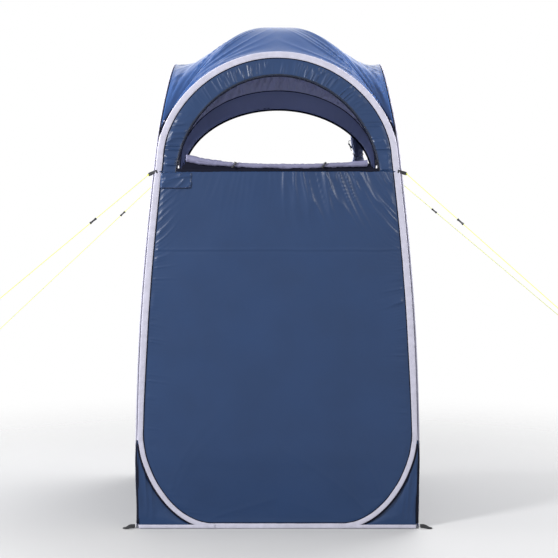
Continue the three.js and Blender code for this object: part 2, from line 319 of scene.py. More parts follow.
def edit(thing, change):
    work = bmesh.new()
    work.from_mesh(thing.data)
    change(work)
    work.to_mesh(thing.data)
    work.free()
    thing.data.update()


def joined(name, things):
    """Several mesh objects as one, keeping each one's materials."""
    bpy.ops.object.select_all(action="DESELECT")
    for thing in things:
        thing.select_set(True)
    bpy.context.view_layer.objects.active = things[0]
    bpy.ops.object.join()
    whole = bpy.context.view_layer.objects.active
    whole.name = whole.data.name = name
    return whole


def attach(piece, body, node=None):
    """Fixes a piece to its body, and hides the CAD node it stands for."""
    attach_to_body(piece, body)
    if node:
        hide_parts(node)


def sew(piece, side, node=None):
    """Fixes a piece to a sprung wall, on a mesh of its own."""
    attach(piece, f"{side}_wall", node)
    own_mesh(piece)


def hang(piece, slot, node=None):
    """Fixes a piece of the roof to the left wall, on a mesh of its own."""
    attach(piece, "left_wall", node)
    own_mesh(piece)


def box_middle(node):
    low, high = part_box(node)
    return (np.array(low) + np.array(high)) / 2


def face_outwards(sheet, outwards):
    """Turns a sheet's faces so that most of them look out of the tent."""

    def change(work):
        total = sum((face.normal * face.calc_area() for face in work.faces), Vector())
        if total.dot(Vector(outwards)) < 0:
            bmesh.ops.reverse_faces(work, faces=work.faces)

    edit(sheet, change)


def two_sided(sheet, outwards):
    """Cloth with its first material outside and its second inside."""
    face_outwards(sheet, outwards)
    thicken(sheet, CLOTH_THICK, inner_material=1)


def thicken(thing, thickness, offset=-1, inner_material=0):
    solid = thing.modifiers.new("thickness", "SOLIDIFY")
    solid.thickness = thickness
    solid.offset = offset
    solid.material_offset = inner_material
    solid.material_offset_rim = 0


def swept(name, path, section, material, closed=False, out=None):
    """A closed section of (across, out) points carried along a path, whose outward direction is out."""
    run = tangents(path, closed)
    out = np.broadcast_to(np.asarray(out, float), path.shape) if out is not None else level_out(run)
    side = unit(np.cross(run, out))
    up = np.cross(side, run)
    section = np.asarray(section, float)
    if section.ndim == 2:
        section = np.broadcast_to(section, (len(path), *section.shape))
    points = path[:, None] + section[..., :1] * side[:, None] + section[..., 1:] * up[:, None]
    rows, cols = points.shape[:2]
    faces = grid_faces(rows, cols, closed, True)
    if not closed:
        faces += [tuple(reversed(range(cols))), tuple(range((rows - 1) * cols, rows * cols))]
    thing = mesh_object(name, points.reshape(-1, 3), faces, material)
    edit(thing, even_normals)
    return thing


def level_out(run):
    """A direction square to each step of a line, turned as little as possible from step to step."""
    seed = np.array((0.0, 0.0, 1.0)) if abs(run[0][2]) < 0.9 else np.array((1.0, 0.0, 0.0))
    result = []
    for step in run:
        seed = unit(seed - step * (seed @ step))
        result.append(seed)
    return np.array(result)


def ring(radius, sides=12, wide=1.0):
    a = full_turn(sides)
    return np.stack((wide * radius * np.cos(a), radius * np.sin(a)), -1)


def tube(name, path, radius, material, sides=12, closed=False):
    path = np.asarray(path, float)
    radius = np.broadcast_to(radius, len(path))
    section = ring(1, sides)[None] * radius[:, None, None]
    return swept(name, path, section, material, closed)


def ribbon(name, path, width, thickness, material, out, closed=False):
    """A flat strap with rounded edges along a path."""
    half, r = width / 2, thickness / 2
    section = np.concatenate((arc(half - r, 0, r, r, -90, 90, 4), arc(r - half, 0, r, r, 90, 270, 4)))
    return swept(name, path, section, material, closed, out)


def turned_part(name, profile, place, axis, material):
    """A lathe part. The profile is (radius, along) points; it stands at place along axis."""
    a = full_turn(28)
    radius, along = np.asarray(profile, float).T[..., None]
    rings = np.stack((radius * np.cos(a), radius * np.sin(a), along + 0 * a), -1)
    turn = Vector((0, 0, 1)).rotation_difference(Vector(axis)).to_matrix()
    points = rings @ np.array(turn).T + np.asarray(place)
    thing = grid_object(name, points, material, wrap_cols=True)
    edit(thing, lambda work: bmesh.ops.remove_doubles(work, verts=work.verts, dist=1e-6))
    edit(thing, even_normals)
    return thing


def soft_box(name, size, place, axes, material, bevel):
    """A box with rounded edges, its sides along three axes."""
    thing = mesh_object(name, [], [], material)

    def build(work):
        bmesh.ops.create_cube(work, size=1)
        for vert in work.verts:
            vert.co = Vector(place) + sum(
                (Vector(axis) * vert.co[k] * size[k] for k, axis in enumerate(axes)), Vector())
        bmesh.ops.bevel(work, geom=work.edges[:], offset=bevel, segments=3, affect="EDGES", profile=0.6)
        even_normals(work)

    edit(thing, build)
    thing.data.shade_smooth()
    return thing


# ---- materials


def tone(hex_colour):
    """A linear colour from its usual hexadecimal form."""
    parts = [int(hex_colour[k:k + 2], 16) / 255 for k in (0, 2, 4)]
    return tuple(p / 12.92 if p <= 0.04045 else ((p + 0.055) / 1.055) ** 2.4 for p in parts)


class Look:
    """One procedural material, built up step by step."""

    def __init__(self, name, colour, roughness, **sockets):
        self.material = bpy.data.materials.new(name)
        self.material.use_nodes = True
        self.tree = self.material.node_tree
        self.shader = self.tree.nodes["Principled BSDF"]
        self.colour = tone(colour)
        self.shader.inputs["Base Color"].default_value = (*self.colour, 1)
        self.shader.inputs["Roughness"].default_value = roughness
        for key, value in sockets.items():
            self.shader.inputs[key.replace("_", " ")].default_value = value
        self.coords = self.node("TexCoord").outputs["Object"]
        self.normal = None

    def node(self, kind, **values):
        made = self.tree.nodes.new("ShaderNode" + kind)
        for key, value in values.items():
            socket = key.replace("_", " ")
            if socket in made.inputs:
                made.inputs[socket].default_value = value
            else:
                setattr(made, key, value)
        return made

    def link(self, output, target):
        self.tree.links.new(output, target)

    def noise(self, scale, detail=2.0, stretch=None):
        made = self.node("TexNoise", Scale=scale, Detail=detail)
        coords = self.coords
        if stretch:
            mapping = self.node("Mapping", Scale=stretch)
            self.link(coords, mapping.inputs["Vector"])
            coords = mapping.outputs[0]
        self.link(coords, made.inputs["Vector"])
        return made.outputs["Fac"]

    def bump(self, height, strength, distance):
        made = self.node("Bump", Strength=strength, Distance=distance)
        self.link(height, made.inputs["Height"])
        if self.normal:
            self.link(self.normal, made.inputs["Normal"])
        self.normal = made.outputs[0]
        self.link(self.normal, self.shader.inputs["Normal"])

    def vary(self, fac, darker, lighter):
        """Colour between two tones of the look's own, by a texture."""
        ramp = self.node("ValToRGB")
        for end, position, share in zip(ramp.color_ramp.elements, (0.3, 0.7), (darker, lighter)):
            end.position = position
            end.color = (*[min(c * share, 1) for c in self.colour], 1)
        self.link(fac, ramp.inputs["Fac"])
        self.link(ramp.outputs[0], self.shader.inputs["Base Color"])

    def spread(self, fac, socket, low, high, **values):
        """One of the shader's values from low to high, by a texture."""
        made = self.node("MapRange", To_Min=low, To_Max=high, **values)
        self.link(fac, made.inputs["Value"])
        self.link(made.outputs[0], self.shader.inputs[socket])

    def fade(self, near, far):
        """Lets the surface thin out from its middle, from all of it at near to none of it at far."""
        middle = self.node("VectorMath", operation="LENGTH")
        self.link(self.coords, middle.inputs[0])
        reach = middle.outputs["Value"]
        self.spread(reach, "Alpha", 1, 0, From_Min=near, From_Max=far, interpolation_type="SMOOTHSTEP")


def woven(name, colour, roughness, weave=0.25, **sockets):
    """Thin proofed polyester: slubs along both threads, fine crinkles and uneven dye."""
    look = Look(name, colour, roughness, **sockets)
    look.vary(look.noise(5, 4), 0.94, 1.07)
    look.spread(look.noise(9, 3), "Roughness", roughness - 0.06, roughness + 0.06)
    look.bump(look.noise(26, 3), 0.25, 0.002)
    look.bump(look.noise(1, 2, (700, 700, 90)), weave, 0.0003)
    look.bump(look.noise(1, 2, (90, 90, 700)), weave, 0.0003)
    return look.material


def taped(name, colour, roughness=0.75, **sockets):
    """Grosgrain binding tape: close ribs and a slightly worn surface."""
    look = Look(name, colour, roughness, **sockets)
    look.vary(look.noise(40, 4), 0.9, 1.06)
    look.bump(look.noise(1, 2, (420, 420, 420)), 0.35, 0.0004)
    look.bump(look.noise(60, 3), 0.3, 0.001)
    return look.material


def moulded(name, colour, roughness=0.45, metallic=0.0):
    look = Look(name, colour, roughness, Metallic=metallic)
    look.vary(look.noise(120, 3), 0.85, 1.2)
    look.spread(look.noise(60, 2), "Roughness", roughness - 0.1, roughness + 0.12)
    look.bump(look.noise(500, 2), 0.15, 0.0002)
    return look.material


def braided(name, colour):
    look = Look(name, colour, 0.7)
    look.vary(look.noise(1, 1, (900, 900, 900)), 0.8, 1.12)
    look.bump(look.noise(1, 1, (1100, 1100, 1100)), 0.6, 0.0006)
    return look.material


CLOTH = woven("polyester_cloth", "152e52", 0.36, Specular_IOR_Level=0.34)
# The roof's copy of the wall polyester, painted lighter and bluer for the light from above that falls on the
# roof.
ROOF_CLOTH_PAINTED_LIGHTER = woven("polyester_roof_painted_lighter", "1b3763", 0.34, Specular_IOR_Level=0.34)
LINING = woven("wall_lining", "8690b4", 0.55)
# The same lavender coating as the wall lining, painted lighter under the roof and on the rear wall's head
# facing, for the light that shines through the roof.
ROOF_LINING_PAINTED_LIGHTER = woven("roof_lining_painted_lighter", "b9bcd6", 0.55)
# The same coating on the rolled window cover, painted darker for the shade among the roll's folds.
COVER_PAINTED_DARKER = woven("cover_lining_painted_darker", "676782", 0.5)
TAPE = taped("binding_tape_cloth", "a6a5b4")
# Dark tape for real seams and pole sleeves, also laid as painted shade: the lines beside the hoop tapes, the
# gusset strips, the strip behind the roof's arch and the cloth under the window's roll.
SEAM_AND_SHADE = taped("dark_seam_tape_and_painted_shade", "0a0d1d", 0.85, Specular_IOR_Level=0.15)
WEBBING = taped("black_webbing", "17181d")
ZIP_TAPE = taped("zip_tape_cloth", "0b0e1e", 0.85, Specular_IOR_Level=0.15)
THREAD = taped("stitching_thread", "c4c4d4")
DARK_THREAD = taped("dark_stitching_thread", "1b2748")
TEETH = moulded("zip_teeth", "101219", 0.6)
SLIDER = moulded("zip_slider_metal", "2a2c33", 0.32, 0.85)
PULL = moulded("zip_pull_plastic", "dcdce2", 0.5)
PLASTIC = moulded("toggle_plastic_moulded", "17181c")
STEEL = moulded("spring_wire", "9a9da3", 0.3, 1.0)
POLE = moulded("fibreglass_rod", "26272b", 0.35)
LINE = braided("guyline_braid", "d9e04f")
ELASTIC = braided("elastic_cord", "1a1b20")


# ---- camera and cords


CAMERA_LENS = 91.9
CAMERA_PLACE = (0.0063, -6.5, 1.4)
CAMERA_DIP = 3.4


def add_camera():
    data = bpy.data.cameras.new("camera")
    data.lens = CAMERA_LENS
    data.clip_end = 200
    camera = bpy.data.objects.new("camera", data)
    camera.location = CAMERA_PLACE
    camera.rotation_euler = (math.radians(90 - CAMERA_DIP), 0, 0)
    bpy.context.scene.collection.objects.link(camera)
    bpy.context.scene.camera = camera


def line_run(name):
    """A guyline's start and its whole run, from the tab to just outside the view."""
    start = np.array(LINE_STARTS[name])
    outwards, away = np.sign(start[:2])
    run = np.array((outwards, away * LINE_SPREAD, -LINE_FALLS[name]))
    return start, run * LINE_REACH[name.split("_")[0]]


def curve_line(name, points):
    data = bpy.data.curves.new(name, "CURVE")
    data.dimensions = "3D"
    data.bevel_depth = LINE_DIAMETER / 2
    data.bevel_resolution = 3
    data.use_fill_caps = True
    spline = data.splines.new("POLY")
    spline.points.add(len(points) - 1)
    for point, place in zip(spline.points, points):
        point.co = (*place, 1)
    data.materials.append(LINE)
    thing = bpy.data.objects.new(name, data)
    bpy.context.scene.collection.objects.link(thing)
    return thing


def knot(name, place, direction):
    """An overhand knot pulled tight: a trefoil of cord round the line."""
    a = full_turn(60)
    x, y, z = np.sin(a) + 2 * np.sin(2 * a), np.cos(a) - 2 * np.cos(2 * a), -np.sin(3 * a)
    turn = np.array(Vector((0, 0, 1)).rotation_difference(Vector(direction)).to_matrix())
    path = np.stack((x, y, z * 1.4), -1) * KNOT_SIZE / 3 @ turn.T + place
    return tube(name, path, LINE_DIAMETER * 0.46, LINE, 8, closed=True)


def end_loop(name, end, direction):
    """The eye at a guyline's peg end: a narrow loop that starts and ends in the knot."""
    sideways = unit(np.cross(direction, (0, 0, 1)))
    a = full_turn(48)
    along, wide = 0.021 * (1 - np.cos(a)), 0.009 * np.sin(a) * (1.1 - np.cos(a)) / 1.4
    path = end + along[:, None] * direction + wide[:, None] * sideways
    return tube(name, path, LINE_DIAMETER * 0.48, LINE, 8, closed=True)


def add_runner(name, direction):
    """Line runner: a moulded barrel on the line, with a waist and flared ends."""
    half, rim, bore = 0.017, 0.005, 0.0019
    upper = np.array((
        (rim * 0.74, half - 0.008), (rim, half - 0.004), (rim, half - 0.0012),
        (rim * 0.8, half), (bore, half),
    ))
    lower = upper[::-1] * (1, -1)
    profile = [*lower, (rim * 0.7, 0), *upper, lower[0]]
    runner = turned_part(f"runner_body_{name}", profile, box_middle(f"runner_{name}"), direction, PLASTIC)
    attach(runner, f"runner_{name}", f"runner_{name}")
    return runner


def add_guyline(name):
    side = name.split("_")[1]
    start, run = line_run(name)
    direction = unit(run)
    steps = np.linspace(0, 1, 16)
    line = curve_line(f"guyline_cord_{name}", start + steps[:, None] * run)
    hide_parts(f"guyline_{name}")
    end = start + run
    extras = [
        knot(f"guyline_knot_{name}", start + direction * 0.004, direction),
        knot(f"guyline_end_knot_{name}", end, direction),
        end_loop(f"guyline_eye_{name}", end, direction),
    ]
    for piece in (line, *extras):
        attach(piece, f"{side}_wall")
    runner = add_runner(name, direction)


# ---- wall cloth


def soft_billow(u, w, half):
    """The slow swell of a stretched wall, most at its middle."""
    across = 1 - np.clip(np.abs(u) / half, 0, 1) ** 2
    upwards = np.sin(np.pi * np.clip(w / 1.9, 0, 1))
    return 0.006 * across * upwards + 0.0016 * noise(u / 0.24, w / 0.4, 3)


def edge_wrinkles(u, w, half, seed):
    """Short level folds running in from the side seams, and the puckers of the seams themselves."""
    from_edge = half - np.abs(u)
    side = np.sign(u) * 7 + seed
    strong = 0.4 + 0.6 * smooth(w, 0.35, 1.1)
    reach = 0.055 + 0.035 * noise(w / 0.09, side, seed)
    slant = -from_edge * (0.9 * smooth(w, 1.1, 1.35) + 0.3 * noise(w / 0.3, side, seed + 1))
    folds = crease((w + slant) / 0.02, from_edge / 0.3 + side, seed)
    folds = folds * (0.65 + 0.35 * noise(w / 0.05, side, 5))
    pucker = np.sin((w + slant) * 2 * np.pi / 0.013 + 3 * noise(w / 0.05, side, 2))
    near = 0.0013 * pucker * np.exp(-from_edge / 0.03)
    return strong * (0.0075 * folds * bell(from_edge, 0, reach) + near)


def corner_tension(u, w, half):
    """Long faint pulls from the bottom corners towards the middle."""
    angle = np.arctan2(w, half - np.abs(u) + 0.08)
    return 0.0011 * crease(angle * 7, np.sign(u) * 2, 9) * bell(w, 0.2, 0.35)


def close_at_edges(count):
    """Shares from -1 to 1 across a wall, twice as close together at its edges as at its middle."""
    even = np.linspace(-1, 1, count)[None]
    return 1.25 * even - 0.25 * even**3


def stretched_cloth(side, higher, columns, seed, folds):
    """A wall's cloth from the hoop's bottom up through the rows named in higher, with folds(u, w) on it."""
    foot = CLOTH_INSET + (CORNER_RZ - CLOTH_INSET) * (1 - np.cos(np.linspace(0, np.pi / 2, 64)))
    w = np.concatenate((foot[:-1], higher))[:, None]
    half = outline_half(w, CLOTH_INSET)
    u = close_at_edges(columns) * half
    w = np.broadcast_to(w, u.shape)
    half = np.maximum(half, 0.02)
    out = soft_billow(u, w, half) + edge_wrinkles(u, w, half, seed) + corner_tension(u, w, half) + folds(u, w)
    return on_wall(side, u, w, out * held(u, w, half))


def side_cloth(side):
    """A plain wall: one sheet from the hoop's bottom to the top of its arch."""
    seed = {"left": 11, "right": 17}[side]
    arch_rows = ARCH_W + (ARCH_RISE - CLOTH_INSET) * np.sin(np.linspace(0, np.pi / 2, 90))
    higher = np.concatenate((np.linspace(CORNER_RZ, ARCH_W, 250)[:-1], arch_rows))
    points = stretched_cloth(side, higher, 121, seed, lambda u, w: arch_pull(u, w, seed))
    return patches_object(f"{side}_wall_cloth", [points], CLOTH, LINING)


def held(u, w, half):
    """Cloth is flat where it is sewn in, and free a little further inside."""
    inside = np.minimum(half - np.abs(u), w - CLOTH_INSET)
    return smooth(inside, 0.013, 0.034)


def arch_pull(u, w, seed):
    """Folds that fan down from the arch, as over the shoulders of a hung cloth."""
    angle = np.arctan2(w - 1.45, u)
    radius = np.hypot(u, w - 1.45)
    return 0.0022 * crease(angle * 9, radius / 0.8 + seed, seed) * smooth(radius, 0.22, 0.5)


def front_lower_wrinkles(u, w):
    """Gathers hanging from the window's sill, strongest to the right of its middle."""
    hang = smooth(w, 1.2, 1.47)
    strength = 0.12 + 0.98 * smooth(u, -0.06, 0.16)
    spread = u - 1.1 * u * (SILL_LOW - w)
    folds = crease(spread / 0.023 + 0.8 * noise(w / 0.2, u / 0.3, 4), w / 0.3, 21)
    fine = crease(spread / 0.013 + 0.5 * noise(w / 0.15, u / 0.2, 7), w / 0.14, 22)
    slow = noise(u / 0.09, w / 0.25, 6)
    return hang * strength * (0.006 * folds + 0.0034 * fine * hang + 0.002 * slow)


def cross_seam(u, w):
    """The sewn seam across the front wall, a low ridge with a groove beside it."""
    line = CROSS_SEAM_W + 0.002 * noise(u / 0.1, 0, 8)
    return 0.0016 * bell(w, line, 0.004) - 0.0009 * bell(w, line - 0.009, 0.005)


def front_lower_patch():
    higher = np.linspace(CORNER_RZ, SILL_LOW + 0.002, 290)
    return stretched_cloth(
        "front", higher, 231, 1, lambda u, w: front_lower_wrinkles(u, w) + cross_seam(u, w))


def ray_to_circle(angle):
    """From the middle of the sill out to the window's zip, in the direction of angle."""
    low = SILL_LOW - WINDOW_W
    reach = WINDOW_R + 0.006
    return -low * np.sin(angle) + np.sqrt(reach**2 - (low * np.cos(angle)) ** 2)


def ray_to_hoop(angle, inset):
    """From the middle of the sill out to the hoop's outline."""
    c, s = np.abs(np.cos(angle)), np.sin(angle)
    straight = (edge_half(SILL_LOW) - inset) / (c + LEAN * s)
    a, b = edge_half(ARCH_W) - inset, ARCH_RISE - inset
    drop = SILL_LOW - ARCH_W
    k2 = (c / a) ** 2 + (s / b) ** 2
    k1 = drop * s / b**2
    k0 = (drop / b) ** 2 - 1
    curved = (-k1 + np.sqrt(k1**2 - k2 * k0)) / k2
    return np.where(SILL_LOW + straight * s <= ARCH_W, straight, curved)


def arch_band():
    """The cloth between the window's zip and the hoop's arch, with its gathers."""
    angle = np.linspace(0, np.pi, 641)[None]
    share = np.linspace(0, 1, 30)[:, None]
    inner, outer = ray_to_circle(angle), ray_to_hoop(angle, CLOTH_INSET)
    radius = inner + share * (outer - inner)
    along = angle * 0.45
    busy = 0.3 + 1.2 * bell(angle, 0.95, 0.35) + 0.6 * bell(angle, 1.95, 0.24)
    folds = crease(along / 0.0125 + share * 0.8, share * 0.9, 14)
    folds = folds * (0.6 + 0.4 * noise(along / 0.04, share, 15))
    top = 0.3 + 0.7 * smooth(np.sin(angle), 0.35, 0.8)
    out = 0.0065 * busy * top * folds + 0.0018 * noise(along / 0.11, share * 1.5, 16)
    level = crease((SILL_LOW + radius * np.sin(angle)) / 0.017, share * 0.7 + np.cos(angle), 18)
    out = out + 0.008 * level * (1 - smooth(np.sin(angle), 0.3, 0.65))
    hold = smooth((1 - share) * (outer - inner), 0.014, 0.034) * smooth(share * (outer - inner), 0, 0.012)
    u, w = radius * np.cos(angle), SILL_LOW + radius * np.sin(angle)
    # rows run outwards and columns from right to left, so the columns are reversed to face outwards
    return on_wall("front", u[:, ::-1], w[:, ::-1], (out * hold)[:, ::-1])


def rear_cloth():
    """The wall round the doorway: a ring of cloth between the hoop and the door's zip."""
    outer, inner = hoop_loop(CLOTH_INSET), door_loop(0.009)
    share = np.linspace(0, 1, 16)[:, None, None]
    flat = outer[None] * (1 - share) + inner[None] * share
    u, w = flat[..., 0], flat[..., 1]
    along = lengths(np.concatenate((outer, outer[:1])))[:-1][None]
    s = share[..., 0]
    out = 0.0028 * crease(along / 0.03 + s, s * 1.2, 31) * (0.5 + 0.5 * noise(along / 0.15, 0, 32))
    out = out + 0.0016 * noise(along / 0.12, s * 2, 33)
    reach = np.linalg.norm(inner - outer, axis=-1)[None]
    hold = smooth(s * reach, 0.013, 0.03) * smooth((1 - s) * reach, 0, 0.012)
    points = on_wall("rear", u, w, out * hold)
    return patches_object("rear_wall_cloth", [points[::-1]], CLOTH, LINING, wrap_cols=True)


def add_head_facing():
    """Light facing inside the rear wall, from its hoop down to a dark seam, puckered all along. Its light
    lavender is painted lighter, for the lit underside of the roof.
    """
    angle = np.linspace(0.12, np.pi - 0.12, 400)[None]
    share = np.linspace(0, 1, 14)[:, None]
    drop = CLOTH_INSET + (0.018 + 0.066 * np.sin(angle)) * share
    u = (edge_half(ARCH_W) - drop * 0.6) * np.cos(angle)
    w = ARCH_W + (ARCH_RISE - drop) * np.sin(angle)
    along = angle * 0.48
    folds = crease(along / 0.03 + share * 1.4, share * 1.3, 131)
    folds = folds + 0.5 * crease(along / 0.014 - share, share, 132)
    deep = 0.008 + 0.010 * np.sin(angle) ** 2
    out = -0.003 - deep * folds * smooth(np.minimum(share, 1 - share), 0, 0.2)
    facing = grid_object("rear_head_facing", on_wall("rear", u, w, out), ROOF_LINING_PAINTED_LIGHTER)
    thicken(facing, CLOTH_THICK, offset=0)
    seam = tube("rear_head_seam", on_wall("rear", u[-1], w[-1], -0.0035), 0.0022, SEAM_AND_SHADE, 8)
    sew(facing, "rear")
    sew(seam, "rear")


def add_wall_cloths():
    whole = (1.19, 1.98)
    front = patches_object("front_wall_cloth", [front_lower_patch(), arch_band()], CLOTH, LINING)
    cloths = {
        "front": (front, whole, 1.75),
        "rear": (rear_cloth(), (0.25, 2.0), 0.49),
        "left": (side_cloth("left"), whole, 2.02),
        "right": (side_cloth("right"), whole, 2.02),
    }
    for side, (cloth, flat, area) in cloths.items():
        two_sided(cloth, OUT[side])
        sew(cloth, side, f"{side}_panel")


# ---- hoops, tapes and corners


def tape_section(count, along):
    """The folded tape's section at each step: a bight round the wire, then two layers down to the seam."""
    bight = arc(0, 0, 0.0034, TAPE_HALF, 100, -100, 9)
    pillow = 0.0004 * noise(along / 0.05, 0, 40) + 0.00028 * np.sin(along * 2 * np.pi / 0.009)
    inner = TAPE_WIDTH - WIRE_INSET
    front = np.array((
        (-0.004, 0.0033), (-0.010, 0.0027), (-STITCH_IN, 0.0022),
        (-inner + 0.0008, 0.0021), (-inner, 0.0014),
    ))
    back = front[::-1] * (1, -1)
    section = np.concatenate((bight, back[::-1], front[::-1]))
    sections = np.repeat(section[None], count, 0)
    flat_part = smooth(-sections[..., 0], 0.003, 0.012)
    sections[..., 1] += np.sign(sections[..., 1]) * pillow[:, None] * flat_part
    return sections


def add_hoop_and_tape(side):
    """The hoop's wire, the folded tape round it with two rows of stitches, and thin dark lines beside it that
    paint the shade along the tape's edge.
    """
    out = OUT[side]
    flat = hoop_loop(WIRE_INSET, (30, 60, 130, 150))
    path = on_wall(side, *flat.T)
    sew(tube(f"{side}_hoop_wire", path, WIRE_R, STEEL, 10, closed=True), side, f"{side}_hoop")

    inwards = -np.cross(tangents(path, True), out)  # towards the hoop's middle
    width = 1 - 0.2 * (1 - smooth(flat[:, 1:], 0.35, 0.8))  # the tape is drawn in round the bottom corners
    section = tape_section(len(path), lengths(path))
    across = (section[..., 0] * width)[..., None]
    points = path[:, None] - across * inwards[:, None] + section[..., 1:] * out
    tape = grid_object(f"{side}_binding", points, TAPE, wrap_rows=True, wrap_cols=True)
    edit(tape, even_normals)
    seam = path + STITCH_IN * width * inwards
    stitches = [stitch_row(f"{side}_stitches_{face}", seam, out, face) for face in (1, -1)]
    sew(joined(f"{side}_sleeve_tape", [tape, *stitches]), side, f"{side}_sleeve")

    # Dark tubes by the tape's inner edge, outside and inside: painted shade where the tape meets the wall's
    # cloth.
    bead = path + (TAPE_WIDTH - WIRE_INSET + 0.0012) * width * inwards
    for name, face in (("outer", 1), ("inner", -1)):
        line = bead + face * 0.0009 * out
        sew(tube(f"{side}_shade_line_{name}", line, SHADE_LINE_R, SEAM_AND_SHADE, 6, closed=True), side)


def stitch_row(name, seam, outwards, face):
    """A row of lockstitches: short raised beads that dip where the needle went through."""
    line = seam + face * 0.0022 * outwards
    dense = evenly(np.concatenate((line, line[:1])), STITCH_PITCH / 4)[:-1]
    lift = 0.00055 * np.abs(np.sin(np.pi * lengths(dense) / STITCH_PITCH)) ** 0.5
    side = 0.0004 * np.cross(tangents(dense, True), outwards)
    out = face * outwards
    base = dense - 0.0003 * out
    points = np.stack((base + side, dense + lift[:, None] * out, base - side), 1)
    return grid_object(name, points, THREAD, wrap_rows=True)


def gusset_outline():
    """A gusset's edge under the hoop's curve, and its edge down the wall's side and in along the floor."""
    curve = arc(CORNER_X, CORNER_RZ, CORNER_RX - 0.004, CORNER_RZ - 0.004, -4, -82, 44)
    head = (edge_half(curve[0, 1]), curve[0, 1])
    corner, foot = (edge_half(GUSSET_FOOT), GUSSET_FOOT), (curve[-1, 0], GUSSET_FOOT)
    return curve, np.concatenate((np.linspace(head, corner, 26)[:-1], np.linspace(corner, foot, 19)))


def add_gusset_cloth(side, end, sign):
    curve, rim = gusset_outline()
    share = np.linspace(0, 1, 20)[None]
    flat = curve[:, None] * (1 - share[..., None]) + rim[:, None] * share[..., None]
    u, w = flat[..., 0] * sign, flat[..., 1]
    fold = 0.004 * crease(np.abs(u) / 0.022, w / 0.2, 51 + sign) * smooth(np.abs(u), 0.42, 0.56)
    slow = 0.0012 * noise(u / 0.05, w / 0.07, 52)
    out = 0.0008 - 0.009 * (1 - smooth(share, 0, 0.45)) + (fold + slow) * smooth(w, 0.01, 0.05)
    points = on_wall(side, u, w, out)[:, ::-sign]
    cloth = grid_object(f"{side}_gusset_cloth_{end}", points, CLOTH, LINING)
    two_sided(cloth, OUT[side])
    sew(cloth, side, f"{side}_gusset_{end}")


def add_gusset_edge(side, end, sign):
    """A dark strip along a gusset's curved edge, seen beside the hoop's tape: painted shade where the gusset
    lies back behind the tape.
    """
    curve, rim = gusset_outline()
    reach = np.linalg.norm(rim - curve, axis=1, keepdims=True)
    inwards = (rim - curve) / reach * np.minimum(reach, GUSSET_SHADE_WIDE)
    under = curve[1:-3, None] + inwards[1:-3, None] * np.linspace(0, 1, 4)[None, :, None]
    points = on_wall(side, under[..., 0] * sign, under[..., 1], 0.0021)
    edge = grid_object(f"{side}_gusset_shade_strip_{end}", points, SEAM_AND_SHADE)
    face_outwards(edge, OUT[side])
    thicken(edge, 0.001)
    sew(edge, side)


def add_hem(side, end, sign):
    """The tape along the floor, under a gusset."""
    curve_end = gusset_outline()[0][-1, 0]
    u = np.linspace(curve_end - 0.05, edge_half(0.008) - 0.001, 50) * sign
    hem = ribbon(f"{side}_hem_{end}", on_wall(side, u, 0.0085, 0.0036), 0.015, 0.0022, TAPE, OUT[side])
    sew(hem, side)


def add_gussets(side):
    for end, sign in (("a", 1), ("b", -1)):
        add_gusset_cloth(side, end, sign)
        add_gusset_edge(side, end, sign)
        add_hem(side, end, sign)


def corner_strip(name, a, b):
    """Seam strip that joins two walls, dark at the gussets and light where it lies behind the tapes."""
    w = np.concatenate((np.linspace(SEAM_FOOT, ARCH_W, 110), np.linspace(ARCH_W, SEAM_TOP, 24)[1:]))
    across = np.linspace(0, 1, 9)[:, None]
    u_edge = np.where(w < ARCH_W, edge_half(w), outline_half(np.maximum(w, ARCH_W), 0.0))
    tuck = smooth(w, 0.24, 0.42)
    out = 0.004 - 0.0076 * tuck
    u = u_edge - 0.002 - 0.010 * tuck
    first, second = on_wall(a, u, w, out), on_wall(b, -u, w, out)
    middle = (first + second) / 2
    outward = unit(middle * (1, 1, 0))
    swell = 0.0022 + 0.0048 * tuck + 0.0006 * noise(w / 0.03, 1, 61)
    swell = np.sin(np.pi * across) * swell[:, None, None] * outward[:, None]
    points = first[:, None] * (1 - across) + second[:, None] * across + swell
    strip = grid_object(name, points, SEAM_AND_SHADE, TAPE)
    for face in strip.data.polygons:
        face.material_index = int(face.center.z > CORNER_RZ - 0.03)
    face_outwards(strip, outward.mean(0))
    thicken(strip, 0.0011)
    return strip, middle[len(w) // 2]


def add_corner_strips():
    for name, (a, b) in {"front_left": ("left", "front"), "rear_left": ("rear", "left"),
                         "front_right": ("front", "right")}.items():
        strip, middle = corner_strip(f"corner_seam_{name}", a, b)
        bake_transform(strip)
    strip, _ = corner_strip("corner_seam_rear_right", "right", "rear")
    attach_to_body(strip, "right_wall")


# ---- roof


def pole_height(along):
    return CROWN_Z - (CROWN_Z - POLE_END_Z) * np.abs(along) ** POLE_POWER


def pole_out(along):
    """How far out a pole is, both ways from the middle, with the splay of its ends."""
    return POLE_REACH * along + POLE_SPLAY * along * np.abs(along) ** 5


def roof_point(across, along):
    """The front quarter's surface: along is 0 at the crown and 1 at the arch, across is from pole to pole."""
    x = across * POLE_REACH
    arch_top = ARCH_W + ARCH_RISE * np.sqrt(1 - (x / edge_half(ARCH_W)) ** 2)
    edge_z = arch_top * COS
    edge_y = BASE_HALF - ROOF_INSET - LEAN * edge_z
    z = pole_height(along) + (edge_z - POLE_END_Z) * along**ARCH_POWER
    y = POLE_REACH * along + (edge_y - POLE_REACH) * along**6
    by_pole = np.abs(across) ** 8
    x = across * (POLE_REACH * along * (1 - by_pole) + pole_out(along) * by_pole)
    return bowed(np.stack((x, -y, z), -1))


def roof_wrinkles(across, along, seed):
    """Folds that fan out of the arch's shoulders, and soft ones that run to the crown."""
    reach = np.hypot((1 - np.abs(across)) * along * 0.5, (1 - along) * 0.5)
    angle = np.arctan2(1 - along, (1 - np.abs(across)) + 1e-6)
    fan = crease(angle * 5.5 + np.sign(across), reach / 0.3, seed) * bell(reach, 0.1, 0.17)
    hem = crease(across * 11, along * 2, seed + 1) * smooth(along, 0.72, 0.97)
    slow = noise(across * 2.5, along * 2.5, seed + 2)
    return 0.008 * fan + 0.0036 * hem + 0.0028 * slow * smooth(along, 0.1, 0.5)


